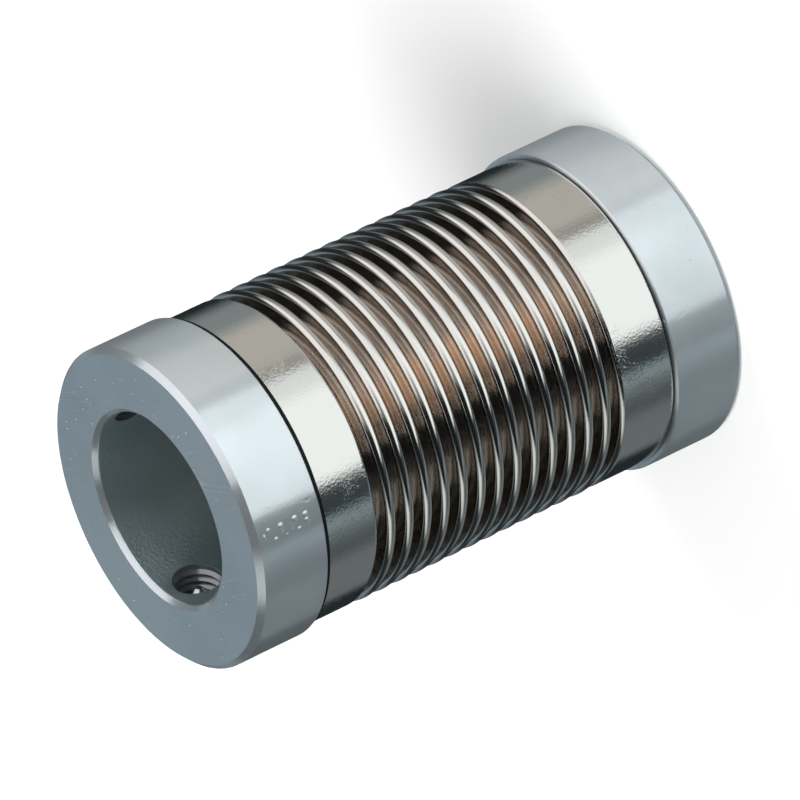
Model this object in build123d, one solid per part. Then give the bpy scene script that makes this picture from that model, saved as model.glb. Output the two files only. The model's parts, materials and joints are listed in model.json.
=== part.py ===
"""Bellows coupling: a torsionally stiff shaft coupling.

Two turned aluminium hubs are bored for the shafts. A thin-walled metal bellows joins them. Its plain
cuffs slip over the spigots of the hubs and are bonded there. Each hub grips its shaft with two
cone-point set screws in radial tapped holes.

All lengths are in millimetres. The shaft axis is +Z, and the lower hub stands on Z = 0.
"""

import math
import os

from build123d import *

# --- Driving dimensions -------------------------------------------------------------------------

# Overall
overall_length = 70.0

# Hub: the same turned part at both ends
rim_diameter = 40.0
rim_length = 9.6
bore_diameter = 24.0
rim_chamfer = 0.7
shoulder_chamfer = 0.15
mouth_chamfer = 0.6
inner_mouth_chamfer = 0.4
spigot_chamfer = 0.4

# Bellows
rim_step = 0.67
crest_rise = 0.1
convolution_depth = 5.0
wall = 0.2
convolutions = 13
pitch = 2.61
crest_width = 1.3
cuff_bend = 0.65

# Bonded joints between spigot and cuff. A bead of adhesive fills the gap at the upper one.
bond_film = 0.1
bond_end_gap = 0.4
spigot_clearance = 0.35
lower_joint_gap = 0.2
upper_joint_gap = 0.5
bead_inset = 0.2
bead_bend = 0.2

# Set screws: M6 with a cone point and a hexagon socket
tapped_diameter = 6.0
thread_clearance = 0.05
screw_length = 6.0
screw_spread = 130.0
cone_angle = 90.0
cone_flat = 0.8
screw_end_chamfer = 0.5
socket_across_flats = 3.0
socket_depth = 2.4
drill_point_angle = 120.0
tip_recess = 1.0
countersink = 0.3

# --- Derived sizes ------------------------------------------------------------------------------

rim_radius = rim_diameter / 2
bore_radius = bore_diameter / 2
tapped_radius = tapped_diameter / 2

# The rim stands proud of the cuff by the rim step, and every crest by the crest rise.
cuff_radius = rim_radius - rim_step
crest_radius = cuff_radius + crest_rise
root_radius = crest_radius - convolution_depth
spigot_radius = cuff_radius - wall - bond_film

# Crests and valleys are half-round, with flat flanks between them.
crest_bend = crest_width / 2
valley_bend = (pitch - crest_width) / 2
crest_centre = crest_radius - crest_bend
valley_centre = root_radius + valley_bend

# Heights along the shaft axis. The corrugated part lies at mid-length and has a valley at each end,
# so it runs from the foot of the lower cuff's bend to the foot of the upper one's.
corrugated_length = (convolutions + 1) * pitch - crest_width
lower_foot = (overall_length - corrugated_length) / 2
upper_foot = overall_length - lower_foot
first_valley = lower_foot + valley_bend
bellows_start = rim_length + lower_joint_gap
bellows_end = overall_length - rim_length - upper_joint_gap

# The spigot stops short of the bend of the cuff.
hub_length = lower_foot - cuff_bend - spigot_clearance

screw_height = rim_length / 2
screw_tip_radius = bore_radius + tip_recess
screw_angles = (90 - screw_spread / 2, 90 + screw_spread / 2)


# --- Helpers ------------------------------------------------------------------------------------


def turned(*edges):
    """A solid of revolution about Z. The closed outline is drawn as (radius, height)."""
    outline = make_face(Curve() + list(edges))
    return revolve(Plane.XZ * outline, Axis.Z)


def path(*points):
    """Straight edges through the points, in order."""
    return [Line(a, b) for a, b in zip(points, points[1:])]


def ring_outline(*points):
    """Straight edges through the points and back to the first."""
    return path(*points, points[0])


def radial_plane(angle, height):
    """A plane across the shaft axis whose normal points outwards at this angle about Z."""
    direction = (math.cos(math.radians(angle)), math.sin(math.radians(angle)), 0)
    return Plane(origin=(0, 0, height), z_dir=direction)


def other_end(shape):
    """The same piece turned over to the other end of the coupling, about the Y axis at mid-length."""
    middle = Axis((0, 0, overall_length / 2), (0, 1, 0))
    return shape.rotate(middle, 180)


# --- Hub ----------------------------------------------------------------------------------------


def hub():
    """Lower hub: a chamfered rim, a spigot for the cuff, a through bore and two tapped holes."""
    body = turned(
        *ring_outline(
            (bore_radius + mouth_chamfer, 0),
            (rim_radius - rim_chamfer, 0),
            (rim_radius, rim_chamfer),
            (rim_radius, rim_length - shoulder_chamfer),
            (rim_radius - shoulder_chamfer, rim_length),
            (spigot_radius, rim_length),
            (spigot_radius, hub_length - spigot_chamfer),
            (spigot_radius - spigot_chamfer, hub_length),
            (bore_radius + inner_mouth_chamfer, hub_length),
            (bore_radius, hub_length - inner_mouth_chamfer),
            (bore_radius, mouth_chamfer),
        )
    )
    for angle in screw_angles:
        body -= radial_plane(angle, screw_height) * tapped_hole()
    return body


def tapped_hole():
    """A radial hole from the shaft axis to past the rim, with a countersunk outer mouth."""
    hole = extrude(Circle(tapped_radius), rim_radius + countersink)
    mouth = Cone(
        tapped_radius,
        tapped_radius + 2 * countersink,
        2 * countersink,
        align=(Align.CENTER, Align.CENTER, Align.MIN),
    )
    return hole + Pos(0, 0, rim_radius - countersink) * mouth


# --- Bellows ------------------------------------------------------------------------------------


def arc(centre_radius, centre_height, bend, start, end):
    """An arc of the outline about a centre, from one angle to another. 0 degrees points outwards."""

    def at(angle):
        turn = math.radians(angle)
        return (centre_radius + bend * math.cos(turn), centre_height + bend * math.sin(turn))

    return ThreePointArc(at(start), at((start + end) / 2), at(end))


def chained(curves):
    """The curves in order, with a straight edge across each gap between two of them."""
    edges = []
    for curve, following in zip(curves, curves[1:]):
        edges += [curve, Line(curve @ 1, following @ 0)]
    return edges + [curves[-1]]


def wall_contour(depth):
    """One side of the bellows wall as a chain of edges, this depth under its outer surface.

    It runs up the lower cuff, round its bend, round every valley and crest, and up the upper cuff.
    """
    bend_centre = cuff_radius - cuff_bend
    curves = [arc(bend_centre, lower_foot - cuff_bend, cuff_bend - depth, 0, 90)]
    for number in range(convolutions + 1):
        valley = first_valley + number * pitch
        curves.append(arc(valley_centre, valley, valley_bend + depth, 270, 90))
        if number < convolutions:
            curves.append(arc(crest_centre, valley + pitch / 2, crest_bend - depth, -90, 90))
    curves.append(arc(bend_centre, upper_foot + cuff_bend, cuff_bend - depth, -90, 0))
    lower_cuff = Line((cuff_radius - depth, bellows_start), curves[0] @ 0)
    upper_cuff = Line(curves[-1] @ 1, (cuff_radius - depth, bellows_end))
    return [lower_cuff, *chained(curves), upper_cuff]


def bellows():
    """The seamless bellows: one formed tube wall with a plain cuff at each end."""
    inner_radius = cuff_radius - wall
    lower_edge = Line((inner_radius, bellows_start), (cuff_radius, bellows_start))
    upper_edge = Line((inner_radius, bellows_end), (cuff_radius, bellows_end))
    return turned(*wall_contour(0), *wall_contour(wall), lower_edge, upper_edge)


# --- Bonded joints ------------------------------------------------------------------------------

film_radius = spigot_radius + bond_film
film_end = hub_length - spigot_chamfer - bond_end_gap


def adhesive_film():
    """Cured adhesive on the spigot, from the rim's shoulder to near the spigot's end."""
    return turned(
        *ring_outline(
            (spigot_radius, rim_length),
            (film_radius, rim_length),
            (film_radius, film_end),
            (spigot_radius, film_end),
        )
    )


def adhesive_film_with_bead():
    """The same film with a bead in the gap between shoulder and cuff, nearly as high as the rim."""
    bead_radius = rim_radius - bead_inset
    bead_end = rim_length + upper_joint_gap
    film = path(
        (bead_radius - bead_bend, bead_end),
        (film_radius, bead_end),
        (film_radius, film_end),
        (spigot_radius, film_end),
        (spigot_radius, rim_length),
        (bead_radius, rim_length),
        (bead_radius, bead_end - bead_bend),
    )
    corner = arc(bead_radius - bead_bend, bead_end - bead_bend, bead_bend, 0, 90)
    return turned(*film, corner)


# --- Set screws ---------------------------------------------------------------------------------


def set_screw():
    """A set screw on Z: its cone point at Z = 0 aims at the shaft, its socket opens at the other end."""
    radius = tapped_radius - thread_clearance
    point_radius = cone_flat / 2
    cone_height = (radius - point_radius) / math.tan(math.radians(cone_angle / 2))
    blank = turned(
        *ring_outline(
            (0, 0),
            (point_radius, 0),
            (radius, cone_height),
            (radius, screw_length - screw_end_chamfer),
            (radius - screw_end_chamfer, screw_length),
            (0, screw_length),
        )
    )
    return blank - Pos(0, 0, screw_length) * hexagon_socket()


def hexagon_socket():
    """The socket as a solid to cut away: a hexagon down from Z = 0, ending in a drill point."""
    across = RegularPolygon(socket_across_flats / 2, 6, major_radius=False)
    drill_radius = socket_across_flats / 2
    point_depth = drill_radius / math.tan(math.radians(drill_point_angle / 2))
    drill_point = Cone(0, drill_radius, point_depth, align=(Align.CENTER, Align.CENTER, Align.MAX))
    return extrude(across, -socket_depth) + Pos(0, 0, -socket_depth) * drill_point


def seated_screw(angle):
    """A set screw in the lower hub's tapped hole at this angle, its point just outside the bore."""
    return radial_plane(angle, screw_height) * Pos(0, 0, screw_tip_radius) * set_screw()


# --- Build --------------------------------------------------------------------------------------


def build():
    """Every piece of the coupling by its node name."""
    pieces = {
        "lower_hub": hub(),
        "upper_hub": other_end(hub()),
        "bellows": bellows(),
        "lower_bond": adhesive_film(),
        "upper_bond": other_end(adhesive_film_with_bead()),
    }
    for number, angle in enumerate(screw_angles, start=1):
        pieces[f"lower_set_screw_{number}"] = seated_screw(angle)
        pieces[f"upper_set_screw_{number}"] = other_end(seated_screw(180 - angle))
    return pieces


os.makedirs("parts", exist_ok=True)
for name, piece in build().items():
    export_step(piece, f"parts/{name}.step")
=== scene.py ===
"""The looks of a bellows coupling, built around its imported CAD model.

The file is laid out as an add-on: each operator makes one piece, or one group of like pieces, from the
sizes and colours in the property groups. All lengths in the code are in metres.
"""

import json
import math
from typing import NamedTuple

import bpy
import numpy as np
from mathutils import Matrix, Vector

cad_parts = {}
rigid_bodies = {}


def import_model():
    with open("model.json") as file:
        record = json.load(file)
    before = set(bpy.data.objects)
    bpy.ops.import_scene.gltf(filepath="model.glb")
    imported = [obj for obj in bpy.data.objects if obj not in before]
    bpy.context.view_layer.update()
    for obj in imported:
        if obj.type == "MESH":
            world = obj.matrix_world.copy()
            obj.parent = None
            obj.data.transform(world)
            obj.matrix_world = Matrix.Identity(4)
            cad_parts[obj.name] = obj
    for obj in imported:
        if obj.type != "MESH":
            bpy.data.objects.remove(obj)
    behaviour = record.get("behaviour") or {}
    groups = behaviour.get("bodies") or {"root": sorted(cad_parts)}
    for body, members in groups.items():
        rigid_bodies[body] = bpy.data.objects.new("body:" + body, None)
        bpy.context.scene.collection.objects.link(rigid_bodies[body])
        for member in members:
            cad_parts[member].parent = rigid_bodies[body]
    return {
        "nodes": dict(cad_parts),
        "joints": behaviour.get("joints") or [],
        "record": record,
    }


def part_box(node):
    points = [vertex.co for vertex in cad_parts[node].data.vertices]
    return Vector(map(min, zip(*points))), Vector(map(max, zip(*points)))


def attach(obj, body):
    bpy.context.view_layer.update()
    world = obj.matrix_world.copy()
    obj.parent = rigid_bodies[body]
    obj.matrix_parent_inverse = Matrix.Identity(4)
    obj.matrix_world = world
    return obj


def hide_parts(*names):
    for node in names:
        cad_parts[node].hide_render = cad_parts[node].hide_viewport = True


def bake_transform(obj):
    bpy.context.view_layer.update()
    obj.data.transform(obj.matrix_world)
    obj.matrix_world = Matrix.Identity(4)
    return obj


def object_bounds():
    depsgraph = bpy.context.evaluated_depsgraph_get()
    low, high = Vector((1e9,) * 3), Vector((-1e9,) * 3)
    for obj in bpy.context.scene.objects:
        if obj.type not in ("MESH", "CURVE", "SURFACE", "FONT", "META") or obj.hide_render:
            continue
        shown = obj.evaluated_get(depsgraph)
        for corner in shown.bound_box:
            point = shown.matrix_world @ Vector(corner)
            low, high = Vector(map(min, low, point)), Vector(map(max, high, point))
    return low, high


bl_info = {
    "name": "Bellows Coupling",
    "version": (1, 0, 0),
    "blender": (4, 5, 0),
    "location": "View3D > Sidebar > Coupling",
    "description": "Builds the bellows, threads, finishes and stage of a bellows coupling",
    "category": "Object",
}

MM = 0.001
MICRON = 0.001 * MM
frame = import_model()
cad_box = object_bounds()

BELLOWS_LOW, BELLOWS_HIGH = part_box("bellows")
PART_LOW, PART_HIGH = cad_box
RIM_RADIUS = PART_HIGH.x
MID_HEIGHT = (PART_LOW.z + PART_HIGH.z) / 2
BORE_RADIUS = frame["record"]["mounts"][0]["dims"]["r_mm"] * MM


# --- Settings -------------------------------------------------------------------------------------


def length(name, description, millimetres):
    """A length property. Its default is given in millimetres."""
    return bpy.props.FloatProperty(
        name=name, description=description, default=millimetres * MM, min=0, unit="LENGTH", precision=5
    )


def colour(name, description, value):
    """A colour property with a red, green and blue default."""
    return bpy.props.FloatVectorProperty(
        name=name, description=description, default=value, size=3, min=0, max=1, subtype="COLOR"
    )


def share(name, description, value):
    """A property from 0 to 1."""
    return bpy.props.FloatProperty(
        name=name, description=description, default=value, min=0, max=1, subtype="FACTOR"
    )


def angle(name, description, degrees):
    """An angle property. Its default is given in degrees."""
    return bpy.props.FloatProperty(
        name=name, description=description, default=math.radians(degrees), subtype="ANGLE"
    )


class BellowsSettings(bpy.types.PropertyGroup):
    """Sizes and finish of the bellows"""

    convolutions: bpy.props.IntProperty(
        name="Convolutions", description="Number of crests", default=13, min=1
    )
    pitch: length("Pitch", "Distance from crest to crest", 2.61)
    crest_width: length("Crest width", "Outer width of one crest along the axis", 1.3)
    depth: length("Convolution depth", "Height of a crest above a valley", 5.0)
    crest_rise: length("Crest rise", "Height of a crest above the cuff", 0.1)
    wall: length("Wall", "Thickness of the sheet", 0.2)
    cuff_bend: length("Cuff bend", "Outer radius where a cuff turns into the nearest valley", 0.65)
    columns: bpy.props.IntProperty(
        name="Columns", description="Points round the axis", default=192, min=24
    )
    # Width of a near-black band along the top edge of the upper cuff, where it meets the upper hub.
    dark_edge_width: length("Dark band width", "Near-black band along the top edge of the upper cuff", 0.26)
    metal: colour("Metal", "Reflected colour of the sheet", (0.70, 0.675, 0.635))
    groove_metal: colour("Groove metal", "Reflected colour between the crests", (0.71, 0.67, 0.635))
    # Painted reflection: the warm copper reflection painted on the grooves at the front.
    painted_reflection_tint: colour("Painted reflection tint", "Colour of the warm reflection painted on the front grooves", (0.83, 0.735, 0.66))
    roughness: share("Roughness", "Roughness of the sheet", 0.12)
    groove_roughness: share("Groove roughness", "Roughness between the crests", 0.10)


class HubSettings(bpy.types.PropertyGroup):
    """Finish of the two hubs and of the adhesive between hub and cuff"""

    metal: colour("Metal", "Reflected colour of the turned aluminium", (0.86, 0.90, 0.92))
    # Painted shade: a darker, greener colour inside the bore.
    painted_bore_shade: colour("Painted bore shade", "Reflected colour inside the bore", (0.66, 0.76, 0.78))
    # Painted shade: a darker colour in the tapped holes and on their thread ridges.
    painted_hole_shade: colour("Painted hole shade", "Darker colour in the tapped holes, painted shade", (0.36, 0.38, 0.39))
    roughness: share("Roughness", "Roughness of the turned sides under their haze", 0.17)
    haze_roughness: share("Haze roughness", "Roughness of the satin haze on the sides", 0.74)
    lower_haze: share("Lower haze", "Share of the haze on the lower hub", 0.72)
    upper_haze: share("Upper haze", "Share of the haze on the upper hub", 0.54)
    face_roughness: share("Face roughness", "Roughness of the end faces", 0.42)
    adhesive: colour("Adhesive", "Colour of the cured adhesive", (0.006, 0.007, 0.008))


class ScrewSettings(bpy.types.PropertyGroup):
    """Sizes and finish of the set screws and of their tapped holes"""

    major_diameter: length("Major diameter", "Outer diameter of the tapped thread", 6.0)
    thread_pitch: length("Thread pitch", "Distance from turn to turn", 1.0)
    thread_depth: length("Thread depth", "Height of a thread ridge in the hole", 0.42)
    thread_clearance: length("Thread clearance", "Radial play between screw and hole", 0.05)
    screw_length: length("Screw length", "Length from cone point to socket face", 6.0)
    tip_recess: length("Tip recess", "Distance of the cone point from the bore wall", 1.0)
    cone_flat: length("Cone flat", "Diameter of the flat on the cone point", 0.8)
    end_chamfer: length("End chamfer", "Chamfer round the socket face", 0.5)
    socket_flats: length("Socket flats", "Width across the flats of the hexagon socket", 3.0)
    socket_depth: length("Socket depth", "Depth of the hexagon socket", 2.4)
    steel: colour("Steel", "Reflected colour of the screws", (0.60, 0.61, 0.62))
    roughness: share("Roughness", "Roughness of the screws", 0.24)


class StageSettings(bpy.types.PropertyGroup):
    """Floor, lights and camera"""

    floor: colour("Floor", "Colour of the floor", (0.80, 0.80, 0.79))
    camera_azimuth: angle("Camera azimuth", "Turn of the camera round the shaft axis, from -Y", 14.0)
    camera_elevation: angle("Camera elevation", "Height of the camera above the horizon", 28.3)
    camera_roll: angle("Camera roll", "Clockwise turn of the picture", 115.48)
    camera_distance: length("Camera distance", "Distance from camera to coupling", 1404.0)
    lens: bpy.props.FloatProperty(
        name="Lens", description="Focal length of the camera in millimetres", default=544.8, min=1
    )


# --- Meshes ---------------------------------------------------------------------------------------


def grid_faces(rows, columns, wrap_rows=False, wrap_columns=True):
    """Quads over a grid of points numbered row by row, as an array of four point numbers each.

    Each quad joins a point to the next one in its row and to the same two in the next row. A wrapped
    direction also joins its last line of points to its first.
    """
    row = np.arange(rows if wrap_rows else rows - 1)
    column = np.arange(columns if wrap_columns else columns - 1)
    r, c = np.meshgrid(row, column, indexing="ij")
    r2, c2 = (r + 1) % rows, (c + 1) % columns
    corners = [r * columns + c, r * columns + c2, r2 * columns + c2, r2 * columns + c]
    return np.stack(corners, axis=-1).reshape(-1, 4)


def fan_faces(pole, ring, flip):
    """Triangles from one point to each side of a closed ring of points."""
    following = np.roll(ring, -1)
    first, second = (following, ring) if flip else (ring, following)
    return np.stack([np.full_like(ring, pole), first, second], axis=-1)


def mesh_object(name, points, faces, material, smooth_angle=None):
    """A smooth mesh object from points and face arrays. Bends sharper than the angle stay edges."""
    mesh = bpy.data.meshes.new(name)
    polygons = [polygon for group in faces for polygon in group.tolist()]
    mesh.from_pydata(points.reshape(-1, 3).tolist(), [], polygons)
    mesh.polygons.foreach_set("use_smooth", np.ones(len(mesh.polygons), bool))
    if smooth_angle is not None:
        mesh.set_sharp_from_angle(angle=smooth_angle)
    mesh.materials.append(material)
    mesh.update()
    piece = bpy.data.objects.new(name, mesh)
    bpy.context.scene.collection.objects.link(piece)
    return piece


# --- Node helpers ---------------------------------------------------------------------------------


class Nodes:
    """Adds nodes to one tree and links them. An input is a value, or another node's output."""

    def __init__(self, tree):
        self.tree = tree
        tree.nodes.clear()

    def add(self, kind, inputs=None, **settings):
        node = self.tree.nodes.new(kind)
        for key, value in settings.items():
            setattr(node, key, value)
        for key, value in (inputs or {}).items():
            self.put(node.inputs[key], value)
        return node

    def put(self, socket, value):
        if isinstance(value, bpy.types.NodeSocket):
            self.tree.links.new(value, socket)
        else:
            socket.default_value = value

    def math(self, operation, *values):
        return self.add("ShaderNodeMath", dict(enumerate(values)), operation=operation).outputs[0]

    def product(self, first, *others):
        """The product of several masks: 1 where all of them are 1."""
        for other in others:
            first = self.math("MULTIPLY", first, other)
        return first

    def between(self, value, low, high):
        """1 where the value lies between the two limits, else 0."""
        return self.product(self.math("GREATER_THAN", value, low), self.math("LESS_THAN", value, high))

    def remap(self, value, low, high, new_low=0.0, new_high=1.0, smooth=False):
        inputs = {0: value, 1: low, 2: high, 3: new_low, 4: new_high}
        kind = "SMOOTHSTEP" if smooth else "LINEAR"
        return self.add("ShaderNodeMapRange", inputs, interpolation_type=kind).outputs[0]

    def noise(self, vector, scale, detail=2.0, roughness=0.5):
        inputs = {"Vector": vector, "Scale": scale, "Detail": detail, "Roughness": roughness}
        return self.add("ShaderNodeTexNoise", inputs).outputs["Fac"]

    def mix_colour(self, amount, a, b):
        node = self.add("ShaderNodeMix", data_type="RGBA", clamp_factor=True)
        self.put(node.inputs[0], amount)
        for socket, rgb in ((node.inputs[6], a), (node.inputs[7], b)):
            self.put(socket, rgb if isinstance(rgb, bpy.types.NodeSocket) else (*rgb, 1))
        return node.outputs[2]

    def relief(self, layers, normal=None):
        """The normal after layers of relief, each a pattern and its height. Below 0 it is a dent."""
        for pattern, height in layers:
            inputs = {"Height": pattern, "Distance": height, "Strength": 1.0}
            if normal is not None:
                inputs["Normal"] = normal
            normal = self.add("ShaderNodeBump", inputs).outputs[0]
        return normal

    def place(self):
        """Object coordinates."""
        return self.add("ShaderNodeTexCoord").outputs["Object"]

    def round_place(self):
        """Object coordinates, their three separate parts, and the distance from the shaft axis."""
        place = self.place()
        parts = self.add("ShaderNodeSeparateXYZ", {0: place}).outputs
        flat = self.add("ShaderNodeCombineXYZ", {0: parts[0], 1: parts[1]}).outputs[0]
        radius = self.add("ShaderNodeVectorMath", {0: flat}, operation="LENGTH").outputs["Value"]
        return place, parts, radius


def new_material(name):
    """An empty material, and what adds nodes to it."""
    material = bpy.data.materials.new(name)
    material.use_nodes = True
    return material, Nodes(material.node_tree)


def metal_surface(nodes, base, roughness, normal, turned=0.0):
    """A metal shader. Turned metal blurs reflections along the shaft axis."""
    inputs = {"Base Color": base, "Metallic": 1.0, "Roughness": roughness, "Normal": normal}
    surface = nodes.add("ShaderNodeBsdfPrincipled", inputs)
    if turned:
        surface.inputs["Anisotropic"].default_value = turned
        surface.inputs["Anisotropic Rotation"].default_value = 0.25
        tangent = nodes.add("ShaderNodeTangent", direction_type="RADIAL", axis="Z")
        nodes.put(surface.inputs["Tangent"], tangent.outputs[0])
    return surface.outputs[0]


def finish(nodes, surface):
    """Ends a material with its surface."""
    nodes.add("ShaderNodeOutputMaterial", {"Surface": surface})


# --- Materials ------------------------------------------------------------------------------------

# How often each procedural pattern repeats in a metre
TURNING_MARKS = 9000.0
HUB_CLOUDS = 140.0
HUB_GRAIN = 2600.0
NICKS = 760.0
DENTS = 900.0
RIPPLE = 420.0
SCRATCHES = 800.0
SCUFF_DENTS = 1000.0
SHEET_CLOUDS = 160.0
# Painted reflection: the unevenness of the warm reflection on the front grooves
PAINTED_REFLECTION_CLOUDS = 300.0
PEBBLES = 3000.0
WAVES = 260.0
SPECK_PATCHES = 220.0
SPECKS = 4200.0
ADHESIVE_GRAIN = 1800.0
STEEL_CLOUDS = 1100.0

GRIME = (0.30, 0.32, 0.33)
BARE_SCRATCH = (1.0, 1.0, 1.0)
# Near-black colour of the band along the top edge of the upper cuff
DARK_EDGE_COLOUR = (0.01, 0.01, 0.01)


def dimmed(level, rgb):
    """The colour with every channel times the level."""
    return tuple(level * channel for channel in rgb)


def from_middle(nodes, parts):
    """The distance along the shaft axis from mid-length."""
    return nodes.math("ABSOLUTE", nodes.math("SUBTRACT", parts[2], MID_HEIGHT))


def turned_marks(nodes, parts, radius):
    """Fine marks that run round the axis: noise that depends only on radius and height."""
    section = nodes.add("ShaderNodeCombineXYZ", {0: radius, 2: parts[2]}).outputs[0]
    return nodes.noise(section, TURNING_MARKS, detail=3.0, roughness=0.6)


def cell_marks(nodes, place, scale, radius, share_of_cells):
    """Round marks in some cells of a cell pattern: 1 in the middle of a mark and 0 outside it."""
    cells = nodes.add("ShaderNodeTexVoronoi", {"Vector": place, "Scale": scale}).outputs
    near = nodes.remap(cells["Distance"], radius * scale, 0.0, smooth=True)
    chosen = nodes.add("ShaderNodeSeparateColor", {0: cells["Color"]}).outputs[0]
    return nodes.product(near, nodes.math("LESS_THAN", chosen, share_of_cells))


def scratches(nodes, place, cloud):
    """Fine scratches: thin lines where a stretched noise crosses its mean, in patches only."""
    stretch = {"Vector": place, "Rotation": (0, 0, 0.5), "Scale": (1, 0.1, 1)}
    stretched = nodes.add("ShaderNodeMapping", stretch).outputs[0]
    level = nodes.noise(stretched, SCRATCHES, detail=0.0)
    from_mean = nodes.math("ABSOLUTE", nodes.math("SUBTRACT", level, 0.5))
    line = nodes.remap(from_mean, 0.02, 0.0, smooth=True)
    return nodes.product(line, nodes.remap(cloud, 0.54, 0.60))


def scuff(nodes, place, parts):
    """A rubbed strip along the front of the upper rim: dents in a row, parallel to the shaft axis."""
    return nodes.product(
        cell_marks(nodes, place, SCUFF_DENTS, 0.5 * MM, 1.0),
        nodes.between(parts[0], -4.2 * MM, -2.4 * MM),
        nodes.math("LESS_THAN", parts[1], -0.9 * RIM_RADIUS),
        nodes.between(parts[2], PART_HIGH.z - 8.0 * MM, PART_HIGH.z - 1.5 * MM),
    )


def hub_areas(nodes, parts, radius):
    """Masks for the end faces, the bore and the tapped holes: 1 there and 0 elsewhere."""
    facing = nodes.add("ShaderNodeNewGeometry").outputs["True Normal"]
    upright = nodes.add("ShaderNodeSeparateXYZ", {0: facing}).outputs[2]
    on_face = nodes.remap(nodes.math("ABSOLUTE", upright), 0.85, 0.95)
    bore_edge = BORE_RADIUS + 0.1 * MM
    in_bore = nodes.math("LESS_THAN", radius, bore_edge)
    to_end = nodes.math("SUBTRACT", PART_HIGH.z - MID_HEIGHT, from_middle(nodes, parts))
    in_hole = nodes.product(
        nodes.between(radius, bore_edge, RIM_RADIUS - 0.9 * MM),
        nodes.between(to_end, 1.4 * MM, 8.2 * MM),
    )
    return on_face, in_bore, in_hole


def hub_material(settings, name, haze):
    """Turned aluminium: satin sides, duller end faces and bore, painted shade in the bore and the tapped
    holes, and small marks.

    The sides shine twice: a clear reflection shows through a haze that spreads it.
    """
    material, nodes = new_material(name)
    place, parts, radius = nodes.round_place()
    on_face, in_bore, in_hole = hub_areas(nodes, parts, radius)
    dull = nodes.math("MAXIMUM", on_face, in_bore)
    cloud = nodes.noise(place, HUB_CLOUDS, detail=3.0)
    fine = nodes.noise(place, HUB_GRAIN, detail=2.0)
    nicks = nodes.product(cell_marks(nodes, place, NICKS, 0.22 * MM, 0.6), on_face)
    scratched = nodes.product(scratches(nodes, place, cloud), on_face)
    dents = nodes.remap(nodes.noise(place, DENTS, detail=3.0), 0.62, 0.80, smooth=True)

    base = nodes.mix_colour(nodes.remap(cloud, 0.35, 0.7), settings.metal, dimmed(0.93, settings.metal))
    # Painted shade: darker colours in the bore and in the tapped holes stand in for the shade inside them.
    base = nodes.mix_colour(in_bore, base, settings.painted_bore_shade)
    base = nodes.mix_colour(in_hole, base, settings.painted_hole_shade)
    speck = nodes.product(nodes.remap(fine, 0.70, 0.76), nodes.remap(cloud, 0.40, 0.62), 0.30)
    base = nodes.mix_colour(speck, base, GRIME)
    base = nodes.mix_colour(nodes.math("MAXIMUM", nicks, scratched), base, BARE_SCRATCH)

    normal = nodes.relief(
        [
            (turned_marks(nodes, parts, radius), 0.4 * MICRON),
            (dents, -12 * MICRON),
            (nicks, -250 * MICRON),
            (scratched, 12 * MICRON),
            (nodes.product(fine, in_bore), 60 * MICRON),
            (scuff(nodes, place, parts), 80 * MICRON),
            (nodes.noise(place, RIPPLE, detail=1.0), 8 * MICRON),
        ]
    )
    pebbled = nodes.relief([(fine, 8 * MICRON)], normal)

    face = nodes.remap(cloud, 0.3, 0.7, settings.face_roughness - 0.04, settings.face_roughness + 0.05)
    side_part = nodes.product(settings.haze_roughness, nodes.math("SUBTRACT", 1.0, dull))
    hazy = nodes.math("ADD", side_part, nodes.product(face, dull))
    clear_metal = metal_surface(nodes, base, settings.roughness, pebbled, turned=0.6)
    hazy_metal = metal_surface(nodes, base, hazy, normal, turned=0.3)
    amount = nodes.math("MAXIMUM", dull, haze)
    satin = nodes.add("ShaderNodeMixShader", {0: amount, 1: clear_metal, 2: hazy_metal})
    finish(nodes, satin.outputs[0])
    return material


def painted_reflection_patch(nodes, place, parts):
    """A painted warm copper reflection: uneven, strongest on the front of the bellows, which faces the
    camera, at mid-length, 0 on other sides.
    """
    compass = nodes.math("ARCTAN2", parts[1], parts[0])
    aside = nodes.math("ABSOLUTE", nodes.math("SUBTRACT", compass, math.radians(-75)))
    uneven = nodes.remap(nodes.noise(place, PAINTED_REFLECTION_CLOUDS, detail=2.0), 0.3, 0.7, -0.13, 0.13)
    edge = nodes.math("ADD", aside, uneven)
    front = nodes.remap(edge, math.radians(19), math.radians(3), smooth=True)
    along = nodes.remap(from_middle(nodes, parts), 20 * MM, 8 * MM, 0.35, 1.0, smooth=True)
    return nodes.product(front, along)


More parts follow.
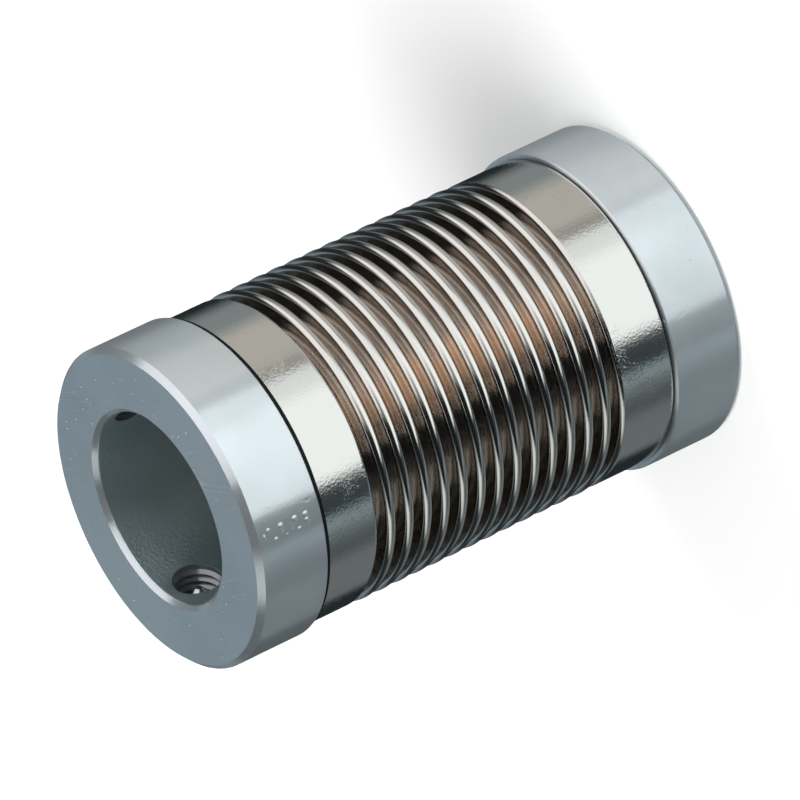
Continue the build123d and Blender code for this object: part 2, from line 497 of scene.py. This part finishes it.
def bellows_material(settings):
    """Bright formed sheet: nearly a mirror, with a pebbled skin that breaks up reflected edges.

    The cuffs' skin is coarser than the crests', and has small pits in patches.
    """
    material, nodes = new_material("formed_sheet")
    place, parts, radius = nodes.round_place()
    crest_radius = BELLOWS_HIGH.x
    groove = nodes.remap(radius, crest_radius - 0.3 * MM, crest_radius - 1.2 * MM, smooth=True)
    outer = nodes.remap(radius, crest_radius - 0.6 * MM, crest_radius - 0.1 * MM, smooth=True)
    cuff_start = corrugated_ends(settings)[1] - MID_HEIGHT + settings.cuff_bend / 2
    on_cuff = nodes.math("GREATER_THAN", from_middle(nodes, parts), cuff_start)

    # Painted reflection: a warm copper reflection painted on the grooves at the front.
    tint = nodes.mix_colour(painted_reflection_patch(nodes, place, parts), settings.groove_metal, settings.painted_reflection_tint)
    base = nodes.mix_colour(groove, settings.metal, tint)
    # A near-black band along the top edge of the upper cuff, where it meets the upper hub.
    dark_edge_band = nodes.math("GREATER_THAN", parts[2], BELLOWS_HIGH.z - settings.dark_edge_width)
    base = nodes.mix_colour(dark_edge_band, base, DARK_EDGE_COLOUR)
    cloud = nodes.noise(place, SHEET_CLOUDS, detail=2.0)
    crest = nodes.remap(cloud, 0.3, 0.7, settings.roughness - 0.02, settings.roughness + 0.03)
    roughness = nodes.remap(groove, 0.0, 1.0, crest, settings.groove_roughness)

    skin = nodes.math("ADD", outer, nodes.product(on_cuff, 3.6))
    pebbles = nodes.noise(place, PEBBLES, detail=2.0, roughness=0.6)
    waves = nodes.noise(place, WAVES, detail=1.0)
    patches = nodes.remap(nodes.noise(place, SPECK_PATCHES, detail=2.0), 0.52, 0.64, smooth=True)
    specks = nodes.remap(nodes.noise(place, SPECKS, detail=1.0), 0.56, 0.70, smooth=True)
    normal = nodes.relief(
        [
            (nodes.product(pebbles, skin), 4.2 * MICRON),
            (nodes.product(waves, outer), 6 * MICRON),
            (nodes.product(specks, patches, on_cuff), -12 * MICRON),
        ]
    )
    finish(nodes, metal_surface(nodes, base, roughness, normal))
    return material


def adhesive_material(settings):
    """Cured adhesive: dark, slightly uneven and half glossy."""
    material, nodes = new_material("cured_adhesive")
    grain = nodes.noise(nodes.place(), ADHESIVE_GRAIN)
    base = nodes.mix_colour(grain, settings.adhesive, dimmed(0.6, settings.adhesive))
    roughness = nodes.remap(grain, 0.3, 0.7, 0.5, 0.65)
    inputs = {"Base Color": base, "Roughness": roughness, "Normal": nodes.relief([(grain, 20 * MICRON)])}
    surface = nodes.add("ShaderNodeBsdfPrincipled", inputs)
    surface.inputs["Specular IOR Level"].default_value = 0.15
    finish(nodes, surface.outputs[0])
    return material


def screw_material(settings):
    """Plain hardened steel with a slightly mottled polish."""
    material, nodes = new_material("screw_steel")
    cloud = nodes.noise(nodes.place(), STEEL_CLOUDS, detail=3.0)
    base = nodes.mix_colour(cloud, settings.steel, dimmed(0.8, settings.steel))
    roughness = nodes.remap(cloud, 0.3, 0.7, settings.roughness - 0.05, settings.roughness + 0.08)
    finish(nodes, metal_surface(nodes, base, roughness, nodes.relief([(cloud, 4 * MICRON)])))
    return material


def dress(node, material):
    """Puts the material in every slot of a CAD node."""
    piece = frame["nodes"][node]
    for slot in piece.material_slots:
        slot.material = material


# --- Bellows --------------------------------------------------------------------------------------


def arc_points(centre, bend, start, end, steps):
    """Points on an arc of the section, with the outward normal of each.

    A point is the centre plus the bend radius times (cos a, sin a), for angles a from start to end.
    """
    turn = np.radians(np.linspace(start, end, steps + 1))
    out = np.stack([np.cos(turn), np.sin(turn)], axis=-1)
    return np.array(centre) + bend * out, out


class Section:
    """One side of the bellows wall in section, as (radius, height) points with outward normals."""

    def __init__(self):
        self.points, self.normals = [], []

    def add(self, points, normals):
        self.points.append(np.atleast_2d(points))
        self.normals.append(np.atleast_2d(normals))

    def arrays(self):
        return np.concatenate(self.points), np.concatenate(self.normals)


def bellows_side(s, depth, crest_steps, valley_steps):
    """The bellows wall at this depth under its outer surface, from the lower edge to the upper one.

    Crests are half circles that bulge out, and valleys half circles that bulge in. Each cuff turns
    into the nearest valley round a bend. Flat flanks join the end of one arc to the start of the next.
    """
    crest_bend = s.crest_width / 2
    valley_bend = (s.pitch - s.crest_width) / 2
    cuff_radius = BELLOWS_HIGH.x - s.crest_rise
    crest_centre = BELLOWS_HIGH.x - crest_bend
    valley_centre = BELLOWS_HIGH.x - s.depth + valley_bend
    bend_centre = cuff_radius - s.cuff_bend
    low_foot, high_foot = corrugated_ends(s)

    side = Section()
    side.add((cuff_radius - depth, BELLOWS_LOW.z), (1, 0))
    side.add(*arc_points((bend_centre, low_foot - s.cuff_bend), s.cuff_bend - depth, 0, 90, 6))
    for number in range(s.convolutions + 1):
        valley = low_foot + valley_bend + number * s.pitch
        points, out = arc_points((valley_centre, valley), valley_bend + depth, 270, 90, valley_steps)
        side.add(points, -out)
        if number < s.convolutions:
            crest = (crest_centre, valley + s.pitch / 2)
            side.add(*arc_points(crest, crest_bend - depth, -90, 90, crest_steps))
    side.add(*arc_points((bend_centre, high_foot + s.cuff_bend), s.cuff_bend - depth, -90, 0, 6))
    side.add((cuff_radius - depth, BELLOWS_HIGH.z), (1, 0))
    return side.arrays()


def corrugated_ends(s):
    """The heights where the corrugated part starts and ends: it lies at mid-length, valley to valley."""
    half = ((s.convolutions + 1) * s.pitch - s.crest_width) / 2
    return MID_HEIGHT - half, MID_HEIGHT + half


def revolve(section, columns):
    """Turns (radius, height) pairs about Z: x = radius cos t, y = radius sin t, z = height."""
    t = np.linspace(0, 2 * math.pi, columns, endpoint=False)
    x = section[:, :1] * np.cos(t)
    y = section[:, :1] * np.sin(t)
    z = np.repeat(section[:, 1:], columns, axis=1)
    return np.stack([x, y, z], axis=-1)


def bellows_mesh(s, material):
    """The whole wall as one closed surface: up the outside, across the edge and down the inside."""
    outer, outer_normals = bellows_side(s, 0.0, 10, 7)
    inner, inner_normals = bellows_side(s, s.wall, 5, 5)
    section = np.concatenate([outer, inner[::-1]])
    normals = np.concatenate([outer_normals, -inner_normals[::-1]])
    points = revolve(section, s.columns)
    faces = grid_faces(len(section), s.columns, wrap_rows=True)
    piece = mesh_object("bellows_sheet", points, [faces], material, math.radians(60))
    piece.data.normals_split_custom_set_from_vertices(
        revolve(normals, s.columns).reshape(-1, 3).tolist()
    )
    return piece


class COUPLING_OT_bellows(bpy.types.Operator):
    """Makes the corrugated bellows with its two plain cuffs"""

    bl_idname = "coupling.bellows"
    bl_label = "Bellows"

    def execute(self, context):
        s = context.scene.coupling_bellows
        piece = bellows_mesh(s, bellows_material(s))
        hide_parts("bellows")
        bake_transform(piece)
        return {"FINISHED"}


# --- Hubs and adhesive ----------------------------------------------------------------------------


class COUPLING_OT_hubs(bpy.types.Operator):
    """Gives the two hubs their turned aluminium finish"""

    bl_idname = "coupling.hubs"
    bl_label = "Hubs"

    def execute(self, context):
        s = context.scene.coupling_hubs
        dress("lower_hub", hub_material(s, "dull_turned_aluminium", s.lower_haze))
        dress("upper_hub", hub_material(s, "turned_aluminium", s.upper_haze))
        return {"FINISHED"}


class COUPLING_OT_adhesive(bpy.types.Operator):
    """Gives the adhesive between each hub and its cuff a dark cured finish"""

    bl_idname = "coupling.adhesive"
    bl_label = "Adhesive"

    def execute(self, context):
        material = adhesive_material(context.scene.coupling_hubs)
        for node in ("lower_bond", "upper_bond"):
            dress(node, material)
        return {"FINISHED"}


# --- Set screws and tapped threads ----------------------------------------------------------------


THREAD_STEPS = 48  # points in one turn of a thread


class Hole:
    """The axis of one tapped hole: where it starts on the shaft axis and how it lies."""

    def __init__(self, joint):
        self.body = joint["child"]
        self.hub = joint["parent"]
        self.node = self.body.replace("screw", "set_screw")
        self.out = np.array(joint["axis"])
        self.up = np.array([0.0, 0.0, 1.0])
        self.side = np.cross(self.up, self.out)
        low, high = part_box(self.node)
        self.height = (low.z + high.z) / 2

    def place(self, radius, turn, along):
        """The points at a radius and turn about the hole's axis, this far out from the shaft axis."""
        across = radius * np.cos(turn)
        rise = radius * np.sin(turn) + self.height
        parts = (across, self.side), (rise, self.up), (along, self.out)
        return sum(np.asarray(amount)[..., None] * direction for amount, direction in parts)


def holes():
    """One hole for each set screw's slide joint."""
    return [Hole(joint) for joint in frame["joints"] if joint["type"] == "slide"]


def thread_wave(turn, along, pitch):
    """A right-hand thread's height from 0 to 1: a triangle wave of distance over pitch, less turn.

    The wave is stretched past its limits and clipped, which makes crest and root flat.
    """
    phase = (along / pitch - turn / (2 * math.pi)) % 1.0
    return np.clip(1.35 * (1 - np.abs(2 * phase - 1)) - 0.1, 0, 1)


def screw_rows(s, turn):
    """The set screw's surface from cone point to socket, as rows of (radius, distance).

    Along the body the radius is the thread's, cut down to the cone at the point and to the chamfer at
    the socket face. The socket's wall is a hexagon: half its width over the cosine of the angle from
    the nearest flat. The height of the cone point and of the socket's drilled floor come with the rows.
    """
    start = BORE_RADIUS + s.tip_recess
    end = start + s.screw_length
    crest = s.major_diameter / 2 - s.thread_clearance
    body = np.arange(start, end, s.thread_pitch / 12)[:, None]
    wave = thread_wave(turn, body, s.thread_pitch)
    thread = crest - s.thread_depth * (1 - wave)
    cone = s.cone_flat / 2 + body - start
    chamfer = crest - s.end_chamfer + end - body
    radius = np.minimum(np.minimum(thread, cone), chamfer)
    along = np.repeat(body, len(turn), axis=1)

    from_flat = (turn + math.pi / 6) % (math.pi / 3) - math.pi / 6
    hexagon = s.socket_flats / 2 / np.cos(from_flat)
    floor = s.socket_flats / 2 * np.ones_like(turn)
    rim = (crest - s.end_chamfer) * np.ones_like(turn)
    edge = 0.08 * MM
    socket = [
        (rim, end),
        (hexagon + edge, end),
        (hexagon, end - edge),
        (hexagon, end - s.socket_depth),
        (floor, end - s.socket_depth),
    ]
    radius = np.concatenate([radius, *[r[None] for r, _ in socket]])
    along = np.concatenate([along, *[np.full((1, len(turn)), a) for _, a in socket]])
    drill_point = end - s.socket_depth - s.socket_flats / 2 * math.tan(math.radians(30))
    return radius, along, start, drill_point


def set_screw(s, hole, material):
    """One threaded set screw in its hole, closed by a flat point and a drilled socket floor."""
    columns = THREAD_STEPS
    turn = np.linspace(0, 2 * math.pi, columns, endpoint=False)
    radius, along, point, floor = screw_rows(s, turn)
    rows = len(radius)
    points = hole.place(radius, turn[None], along).reshape(-1, 3)
    poles = hole.place(np.zeros(2), np.zeros(2), np.array([point, floor]))
    ring = np.arange(columns)
    faces = [
        grid_faces(rows, columns),
        fan_faces(rows * columns, ring, flip=True),
        fan_faces(rows * columns + 1, ring + (rows - 1) * columns, flip=False),
    ]
    name = hole.node + "_threaded"
    return mesh_object(name, np.concatenate([points, poles]), faces, material, math.radians(40))


def tapped_thread(s, hole, material):
    """The thread ridge in one tapped hole, as a closed strip that winds out along the hole.

    Its section is a triangle with a blunt tip: the foot lies on the hole's wall, and the tip reaches
    in by the thread depth. The turn grows with the distance, one turn a pitch.
    """
    start = BORE_RADIUS + s.thread_pitch / 3
    end = RIM_RADIUS - s.thread_pitch
    wall = s.major_diameter / 2
    turns = (end - start) / s.thread_pitch
    turn = np.linspace(0, 2 * math.pi * turns, int(THREAD_STEPS * turns))
    along = start + turn / (2 * math.pi) * s.thread_pitch
    fade = np.clip(np.minimum(turn, turn[-1] - turn) / (math.pi / 2), 0.04, 1)
    foot, tip = 0.44 * s.thread_pitch, 0.07 * s.thread_pitch
    section = [(wall, -foot), (wall, foot), (wall - s.thread_depth, tip), (wall - s.thread_depth, -tip)]
    rows = np.stack(
        [
            hole.place(wall - (wall - radius) * fade, turn, along + offset * fade)
            for radius, offset in section
        ],
        axis=1,
    )
    count = len(section)
    last = (len(turn) - 1) * count
    caps = np.array([[0, 1, 2, 3], [last + 3, last + 2, last + 1, last]])
    faces = [grid_faces(len(turn), count), caps]
    name = hole.node.replace("set_screw", "tapped_thread")
    return mesh_object(name, rows, faces, material, math.radians(30))


class COUPLING_OT_set_screws(bpy.types.Operator):
    """Makes the four threaded set screws with their cone points and hexagon sockets"""

    bl_idname = "coupling.set_screws"
    bl_label = "Set screws"

    def execute(self, context):
        s = context.scene.coupling_screws
        material = screw_material(s)
        for hole in holes():
            piece = set_screw(s, hole, material)
            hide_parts(hole.node)
            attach(piece, hole.body)
        return {"FINISHED"}


class COUPLING_OT_tapped_threads(bpy.types.Operator):
    """Makes the thread ridges inside the four tapped holes"""

    bl_idname = "coupling.tapped_threads"
    bl_label = "Tapped threads"

    def execute(self, context):
        s = context.scene.coupling_screws
        material = frame["nodes"]["upper_hub"].material_slots[0].material
        for hole in holes():
            piece = tapped_thread(s, hole, material)
            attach(piece, hole.hub)
        return {"FINISHED"}


# --- Stage ----------------------------------------------------------------------------------------


class Panel(NamedTuple):
    """A soft-edged area of the studio that shines or stays dark. All angles are in degrees.

    It lies towards a compass direction from +X, reaches its half width to either side, and rises from
    its low to its high edge above the horizon.
    """

    towards: float
    half_width: float
    side_blur: float
    low: float
    high: float
    edge_blur: float
    light: tuple


SOFT_GREY = (0.80, 0.81, 0.82, 1)
DAYLIGHT = (0.93, 1.0, 1.02)
SKYLIGHT = (1.0, 1.0, 1.03)
ROOM_LIGHT = (0.78, 1.0, 1.13)
FLOOR_LIGHT = (0.85, 1.0, 1.04)
WARM_LIGHT = (1.0, 1.0, 0.93)


ROOM = dimmed(0.025, ROOM_LIGHT)
PANELS = (
    Panel(104, 32, 16, -14, 70, 26, dimmed(0.275, ROOM_LIGHT)),  # wall behind
    Panel(38, 24, 28, -95, -18, 20, dimmed(0.31, FLOOR_LIGHT)),  # floor on the right
    Panel(-178, 34, 10, -95, -6, 30, dimmed(0.20, FLOOR_LIGHT)),  # floor on the left
    Panel(-161, 8, 10, -95, -6, 30, dimmed(0.12, ROOM_LIGHT)),  # shade on it
    Panel(-27, 63, 14, -6, 120, 36, dimmed(1.15, SKYLIGHT)),  # broad light
    Panel(0, 25, 20, -95, -12, 26, dimmed(0.57, WARM_LIGHT)),  # table at the side
    Panel(-70, 40, 9, -95, 6, 30, dimmed(1.30, DAYLIGHT)),  # bright table in front
    Panel(-37, 9, 12, -95, 0, 40, dimmed(1.02, DAYLIGHT)),  # its dimmer end
    Panel(-23, 4, 7, -95, -14, 34, dimmed(0.36, WARM_LIGHT)),  # gap between the tables
    Panel(-164, 16, 12, 4, 54, 40, dimmed(0.90, DAYLIGHT)),  # light on the left
    Panel(-82, 15, 26, 3, 54, 34, dimmed(0.32, WARM_LIGHT)),  # soft side of the screen
    Panel(-116, 30, 16, -6, 74, 28, dimmed(0.01, ROOM_LIGHT)),  # dark screen in front
    Panel(-121, 9, 6, -75, -10, 24, dimmed(0.065, ROOM_LIGHT)),  # its dark foot
    Panel(-139, 6, 6, -75, -16, 24, dimmed(0.34, ROOM_LIGHT)),  # bright strip beside the foot
)


def panel_mask(nodes, panel, compass, rise):
    """1 inside the panel and 0 outside, with a smooth step across each blurred edge."""
    towards, half, side_blur = (math.radians(a) for a in (panel.towards, panel.half_width, panel.side_blur))
    low, high, edge_blur = (math.radians(a) for a in (panel.low, panel.high, panel.edge_blur))
    turn = nodes.math("WRAP", nodes.math("SUBTRACT", compass, towards), math.pi, -math.pi)
    aside = nodes.math("ABSOLUTE", turn)
    beside = nodes.remap(aside, half + side_blur / 2, half - side_blur / 2, smooth=True)
    above = nodes.remap(rise, low - edge_blur / 2, low + edge_blur / 2, smooth=True)
    below = nodes.remap(rise, high + edge_blur / 2, high - edge_blur / 2, smooth=True)
    return nodes.math("MULTIPLY", beside, nodes.math("MULTIPLY", above, below))


def studio_world():
    """The room: white to the camera, soft grey to the floor, and light panels to what shines."""
    world = bpy.data.worlds.new("studio")
    bpy.context.scene.world = world
    world.use_nodes = True
    nodes = Nodes(world.node_tree)
    direction = nodes.add("ShaderNodeTexCoord").outputs["Generated"]
    parts = nodes.add("ShaderNodeSeparateXYZ", {0: direction}).outputs
    compass = nodes.math("ARCTAN2", parts[1], parts[0])
    rise = nodes.math("ARCSINE", parts[2])

    shine = nodes.add("ShaderNodeCombineXYZ", dict(enumerate(ROOM))).outputs[0]
    for panel in PANELS:
        shine = nodes.mix_colour(panel_mask(nodes, panel, compass, rise), shine, panel.light)
    shiny = nodes.add("ShaderNodeBackground", {"Color": shine}).outputs[0]
    soft = nodes.add("ShaderNodeBackground", {"Color": SOFT_GREY, "Strength": 0.75}).outputs[0]
    white = nodes.add("ShaderNodeBackground", {"Color": (1, 1, 1, 1)}).outputs[0]
    ray = nodes.add("ShaderNodeLightPath").outputs
    lit = nodes.add("ShaderNodeMixShader", {0: ray["Is Glossy Ray"], 1: soft, 2: shiny}).outputs[0]
    straight = nodes.math("MAXIMUM", ray["Is Camera Ray"], ray["Is Transmission Ray"])
    seen = nodes.add("ShaderNodeMixShader", {0: straight, 1: lit, 2: white}).outputs[0]
    nodes.add("ShaderNodeOutputWorld", {"Surface": seen})


FLOOR_HALF_WIDTH = 2.5
AIM_OFFSET = (-0.57 * MM, -0.14 * MM, 0.2 * MM)  # from the coupling's centre to the picture's


def floor_material(s):
    """A matt pale floor that what shines looks through, so that it reflects the studio instead."""
    material, nodes = new_material("studio_floor")
    matt = nodes.add("ShaderNodeBsdfDiffuse", {"Color": (*s.floor, 1), "Roughness": 0.5}).outputs[0]
    clear = nodes.add("ShaderNodeBsdfTransparent").outputs[0]
    ray = nodes.add("ShaderNodeLightPath").outputs
    mixed = nodes.add("ShaderNodeMixShader", {0: ray["Is Glossy Ray"], 1: matt, 2: clear}).outputs[0]
    finish(nodes, mixed)
    return material


def make_floor(s):
    """A flat square floor, centred under the coupling."""
    half = FLOOR_HALF_WIDTH
    corners = np.array([[-half, -half, 0], [half, -half, 0], [half, half, 0], [-half, half, 0]], float)
    floor = mesh_object("floor", corners, [np.array([[0, 1, 2, 3]])], floor_material(s))


def aim(thing, target, roll=0.0):
    """Points a lamp or camera at the target, with the top of its picture turned by roll."""
    towards = Vector(target) - thing.location
    turn = towards.to_track_quat("-Z", "Y").to_matrix() @ Matrix.Rotation(-roll, 3, "Z")
    thing.rotation_mode = "QUATERNION"
    thing.rotation_quaternion = turn.to_quaternion()


def around(azimuth, elevation, distance, target):
    """The point at a distance from the target, at an azimuth from -Y and an elevation."""
    level = distance * math.cos(elevation)
    return (
        target[0] + level * math.sin(azimuth),
        target[1] - level * math.cos(azimuth),
        target[2] + distance * math.sin(elevation),
    )


def soft_lamp(name, azimuth, elevation, distance, size, watts):
    """A square soft lamp aimed at the middle of the coupling. Its angles are in degrees."""
    data = bpy.data.lights.new(name, "AREA")
    data.size = size
    data.energy = watts
    lamp = bpy.data.objects.new(name, data)
    bpy.context.scene.collection.objects.link(lamp)
    middle = (0, 0, MID_HEIGHT)
    lamp.location = around(math.radians(azimuth), math.radians(elevation), distance, middle)
    aim(lamp, middle)
    lamp.visible_glossy = False


def make_camera(s):
    """A long-lens camera that looks down on the coupling, turned so that its axis runs slantwise."""
    data = bpy.data.cameras.new("camera")
    data.lens = s.lens
    data.clip_start, data.clip_end = 0.05, 20.0
    camera = bpy.data.objects.new("camera", data)
    bpy.context.scene.collection.objects.link(camera)
    target = (AIM_OFFSET[0], AIM_OFFSET[1], MID_HEIGHT + AIM_OFFSET[2])
    camera.location = around(s.camera_azimuth, s.camera_elevation, s.camera_distance, target)
    aim(camera, target, s.camera_roll)
    bpy.context.scene.camera = camera


class COUPLING_OT_stage(bpy.types.Operator):
    """Makes the floor, the studio, the lamps and the camera"""

    bl_idname = "coupling.stage"
    bl_label = "Stage"

    def execute(self, context):
        s = context.scene.coupling_stage
        context.scene.view_settings.view_transform = "Standard"
        context.scene.cycles.max_bounces = 16
        context.scene.cycles.glossy_bounces = 12
        studio_world()
        make_floor(s)
        soft_lamp("overhead_lamp", azimuth=-40, elevation=68, distance=0.9, size=0.5, watts=7.0)
        soft_lamp("side_lamp", azimuth=100, elevation=38, distance=0.9, size=0.4, watts=3.0)
        make_camera(s)
        return {"FINISHED"}


# --- Panel and registration -----------------------------------------------------------------------

OPERATORS = (
    COUPLING_OT_bellows,
    COUPLING_OT_hubs,
    COUPLING_OT_adhesive,
    COUPLING_OT_set_screws,
    COUPLING_OT_tapped_threads,
    COUPLING_OT_stage,
)
SETTINGS = {
    "coupling_bellows": BellowsSettings,
    "coupling_hubs": HubSettings,
    "coupling_screws": ScrewSettings,
    "coupling_stage": StageSettings,
}


class COUPLING_PT_panel(bpy.types.Panel):
    """Lists the pieces of the coupling and their settings"""

    bl_idname = "COUPLING_PT_panel"
    bl_label = "Bellows coupling"
    bl_space_type = "VIEW_3D"
    bl_region_type = "UI"
    bl_category = "Coupling"

    def draw(self, context):
        layout = self.layout
        for operator in OPERATORS:
            layout.operator(operator.bl_idname)
        for group, kind in SETTINGS.items():
            box = layout.box()
            for key in kind.__annotations__:
                box.prop(getattr(context.scene, group), key)


def register():
    for kind in (*SETTINGS.values(), *OPERATORS, COUPLING_PT_panel):
        bpy.utils.register_class(kind)
    for group, kind in SETTINGS.items():
        setattr(bpy.types.Scene, group, bpy.props.PointerProperty(type=kind))


def unregister():
    for group in SETTINGS:
        delattr(bpy.types.Scene, group)
    for kind in reversed((*SETTINGS.values(), *OPERATORS, COUPLING_PT_panel)):
        bpy.utils.unregister_class(kind)


def main():
    register()
    bpy.ops.coupling.bellows()
    bpy.ops.coupling.hubs()
    bpy.ops.coupling.adhesive()
    bpy.ops.coupling.set_screws()
    bpy.ops.coupling.tapped_threads()
    bpy.ops.coupling.stage()


if __name__ == "__main__":
    main()
